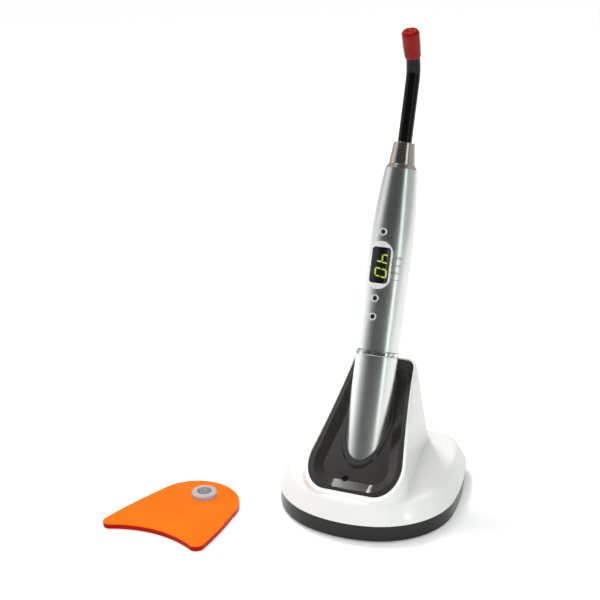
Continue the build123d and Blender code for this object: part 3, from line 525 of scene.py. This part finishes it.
def cap_radius(angle, along):
    """Outside radius in mm: slim at the mouth, full above it, with shallow folds that run up the cap."""
    share = along / CAP_LENGTH
    wave = math.sin(2.0 * angle + CAP_UNEVEN_TWIST * share)
    radius = CAP_OUTER - CAP_MOUTH_SLIMMER * (1.0 - share) ** 2 - CAP_UNEVEN * (1.0 + wave)
    for degrees, depth, width in CAP_FOLDS:
        centre = math.radians(degrees + CAP_FOLD_DRIFT * share)
        away = math.degrees(math.atan2(math.sin(angle - centre), math.cos(angle - centre)))
        grown = CAP_FOLD_AT_MOUTH + (1.0 - CAP_FOLD_AT_MOUTH) * share
        radius -= depth * grown * math.exp(-((away / width) ** 2))
    return radius


def cap_pucker(angle, share):
    """How far the end sinks in mm, share of the way from its rim to its middle."""
    ripple = 0.5 + 0.5 * math.cos(CAP_PUCKER_FOLDS * angle + CAP_PUCKER_TWIST * share)
    return CAP_PUCKER * ripple * math.sin(math.pi * share) + CAP_END_SINK * share**2


def cap_point(kind, value, angle):
    """A row's radius and height at an angle, in mm. value is a height, or how far along a row's kind."""
    if kind == "bore":
        return CAP_INNER, value
    if kind == "lip":
        return (CAP_INNER + cap_radius(angle, 0.0)) / 2, 0.0
    if kind == "wall":
        return cap_radius(angle, value), value
    full = cap_radius(angle, CAP_LENGTH - CAP_CORNER)
    turn = math.pi / 2 * (value if kind == "corner" else 1.0)
    radius = full - CAP_CORNER * (1 - math.cos(turn))
    z = CAP_LENGTH - CAP_CORNER * (1 - math.sin(turn))
    if kind == "end":
        radius *= 1.0 - value
        z -= cap_pucker(angle, value)
    return radius, z


def add_cap():
    place = HANDPIECE @ Matrix.Translation((0.0, 0.0, BEND_STATION * MM))
    place = place @ Matrix.Rotation(GUIDE_BEND, 4, "X") @ Matrix.Translation((0.0, 0.0, CAP_MOUTH * MM))
    shape = bmesh.new()
    rows = [("bore", z) for z in CAP_BORE_HEIGHTS] + [("lip", 0.0)]
    rows += [("wall", z) for z in CAP_WALL_HEIGHTS]
    rows += [("corner", step / CAP_CORNER_STEPS) for step in range(1, CAP_CORNER_STEPS + 1)]
    rows += [("end", share) for share in CAP_END_SHARES]
    rings = []
    for kind, value in rows:
        ring = []
        for i in range(CAP_SIDES):
            angle = 2 * math.pi * i / CAP_SIDES
            radius, z = cap_point(kind, value, angle)
            point = Vector((radius * math.cos(angle), radius * math.sin(angle), z)) * MM
            ring.append(shape.verts.new(place @ point))
        rings.append(ring)
    for first, second in zip(rings, rings[1:]):
        for i in range(CAP_SIDES):
            j = (i + 1) % CAP_SIDES
            shape.faces.new((first[i], first[j], second[j], second[i]))
    for ring, z in ((rings[0], CAP_BORE_DEPTH), (rings[-1], CAP_LENGTH - CAP_END_DIP)):
        middle = shape.verts.new(place @ Vector((0.0, 0.0, z * MM)))
        for i in range(CAP_SIDES):
            shape.faces.new((ring[i], ring[(i + 1) % CAP_SIDES], middle))
    for face in shape.faces:
        face.smooth = True
    cap = add_piece("vinyl_cap", mesh_from(shape, "vinyl_cap"), "tip_cover", "red_vinyl")
    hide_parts("tip_cap")


add_display()
add_prints()
add_cap()


# ---------------------------------------------------------------- stage
FLOOR_REACH = 4.0          # from its middle to each edge
FLOOR_BELOW = 0.0002       # keeps it clear of the pad's underside
# Glow that keeps the paper white where it is seen: weak near the object, so that its shadow stays.
FLOOR_LIFT = 0.2
FAR_FLOOR_LIFT = 0.8
LIFT_NEAR = 0.12           # metres from the middle, where it starts to grow and where it is full
LIFT_FAR = 1.2

# The world is dark on one side, above and behind the camera, so that the metal has something to mirror.
DARK_SWING = CAMERA_SWING - 10.0
DARK_RISE = 0.9
DARK_FROM = 0.3            # the cosine of the angle to that side's middle
DARK_FULL = 0.72
DARK_SIDE = (0.035, 0.034, 0.036)
STUDIO = (0.32, 0.32, 0.32)        # what lights the object
BACKDROP = (0.5, 0.5, 0.5)         # what metal and glass mirror of it
WHITE = (1.0, 1.0, 1.0)            # what the camera sees of it

LIGHT_TARGET = Vector((-0.02, 0.0, 0.09))
# Softboxes: azimuth (0 is in front, 90 at the object's right) and elevation in degrees, distance, size,
# energy, whether surfaces mirror it, and its colour.
LIGHTS = {
    "key": (-120.0, 62.0, 1.0, (0.22, 0.22), 5.5, False, WHITE),
    "left": (-85.0, 15.0, 0.9, (0.6, 0.9), 0.7, True, WHITE),
    "strip": (67.0, 22.0, 0.9, (0.16, 0.8), 0.85, True, (0.86, 1.0, 0.92)),
    "glint": (-138.0, 58.0, 1.0, (0.06, 0.06), 0.35, True, WHITE),
    "sheen": (-62.0, 64.0, 1.0, (0.4, 0.3), 0.4, True, WHITE),
    "top": (0.0, 82.0, 1.2, (0.8, 0.8), 5.4, False, WHITE),
    "fill": (20.0, 25.0, 1.2, (0.8, 0.8), 6.4, False, WHITE),
}


def backdrop_rays(tree):
    """1 for camera, glossy and transmission rays, so that metal and glass show the backdrop too."""
    path = shader_node(tree, "LightPath").outputs
    seen = path["Is Camera Ray"]
    for kind in ("Is Glossy Ray", "Is Transmission Ray"):
        seen = shader_node(tree, "Math", {0: seen, 1: path[kind]}, operation="MAXIMUM").outputs["Value"]
    return seen


def add_floor():
    """A wide pale floor that keeps the object's shadow."""
    shape = bmesh.new()
    bmesh.ops.create_grid(shape, x_segments=8, y_segments=8, size=FLOOR_REACH)
    mesh = bpy.data.meshes.new("floor")
    shape.to_mesh(mesh)
    shape.free()
    floor = bpy.data.objects.new("floor", mesh)
    bpy.context.scene.collection.objects.link(floor)
    floor.location = (0.0, 0.0, -FLOOR_BELOW)
    material, tree, shader = blank("floor_paper", Base_Color=(0.9, 0.9, 0.9), Roughness=0.9,
                                   Specular_IOR_Level=0.1, Emission_Color=WHITE)
    seen = backdrop_rays(tree)
    place = shader_node(tree, "TexCoord").outputs["Object"]
    away = shader_node(tree, "VectorMath", {0: place}, operation="LENGTH").outputs["Value"]
    wanted = spread(tree, away, FLOOR_LIFT, FAR_FLOOR_LIFT, LIFT_NEAR, LIFT_FAR)
    lift = shader_node(tree, "Math", {0: seen, 1: wanted}, operation="MULTIPLY").outputs["Value"]
    tree.links.new(lift, shader.inputs["Emission Strength"])
    mesh.materials.append(material)


def add_world():
    """White to the camera, and round the object a plain studio that is dark on the camera's side."""
    world = bpy.data.worlds.new("studio")
    bpy.context.scene.world = world
    world.use_nodes = True
    tree = world.node_tree
    tree.nodes.clear()
    direction = shader_node(tree, "TexCoord").outputs["Generated"]
    swing = math.radians(DARK_SWING)
    front = Vector((math.sin(swing), -math.cos(swing), DARK_RISE)).normalized()
    facing = shader_node(tree, "VectorMath", {0: direction, 1: front}, operation="DOT_PRODUCT")
    dark = spread(tree, facing.outputs["Value"], 0.0, 1.0, DARK_FROM, DARK_FULL)
    studio = mix_colour(tree, dark, STUDIO, DARK_SIDE)
    backdrop = mix_colour(tree, dark, BACKDROP, DARK_SIDE)
    path = shader_node(tree, "LightPath").outputs
    colour = mix_colour(tree, backdrop_rays(tree), studio, backdrop)
    colour = mix_colour(tree, path["Is Camera Ray"], colour, WHITE)
    back = shader_node(tree, "Background", {"Color": colour, "Strength": 1.0})
    out = shader_node(tree, "OutputWorld")
    tree.links.new(back.outputs["Background"], out.inputs["Surface"])


def add_light(name, azimuth, elevation, distance, size, energy, glossy, tint):
    """A softbox that faces the object."""
    lamp = bpy.data.lights.new(name, "AREA")
    lamp.shape = "RECTANGLE"
    lamp.size, lamp.size_y = size
    lamp.energy = energy
    lamp.color = tint
    holder = bpy.data.objects.new(name, lamp)
    bpy.context.scene.collection.objects.link(holder)
    a, e = math.radians(azimuth), math.radians(elevation)
    back = Vector((math.sin(a) * math.cos(e), -math.cos(a) * math.cos(e), math.sin(e)))
    holder.location = LIGHT_TARGET + back * distance
    holder.rotation_mode = "QUATERNION"
    holder.rotation_quaternion = (-back).to_track_quat("-Z", "Y")
    holder.visible_glossy = glossy


def add_camera():
    swing, pitch, roll = (math.radians(a) for a in (CAMERA_SWING, CAMERA_PITCH, CAMERA_ROLL))
    back = Vector((math.sin(swing) * math.cos(pitch), -math.cos(swing) * math.cos(pitch), math.sin(pitch)))
    right = Vector((math.cos(swing), math.sin(swing), 0.0))
    up = back.cross(right)
    side = right * math.cos(roll) + up * math.sin(roll)
    top = up * math.cos(roll) - right * math.sin(roll)
    camera = bpy.data.objects.new("camera", bpy.data.cameras.new("camera"))
    bpy.context.scene.collection.objects.link(camera)
    placed = Matrix((side, top, back)).transposed().to_4x4()
    placed.translation = CAMERA_TARGET + back * CAMERA_DISTANCE
    camera.matrix_world = placed
    camera.data.sensor_width = SENSOR
    camera.data.lens = LENS
    camera.data.clip_start = CLIP_NEAR
    camera.data.clip_end = CLIP_FAR
    bpy.context.scene.camera = camera


add_floor()
add_world()
for name, light in LIGHTS.items():
    add_light(name, *light)
add_camera()
bpy.context.scene.view_settings.view_transform = "Standard"
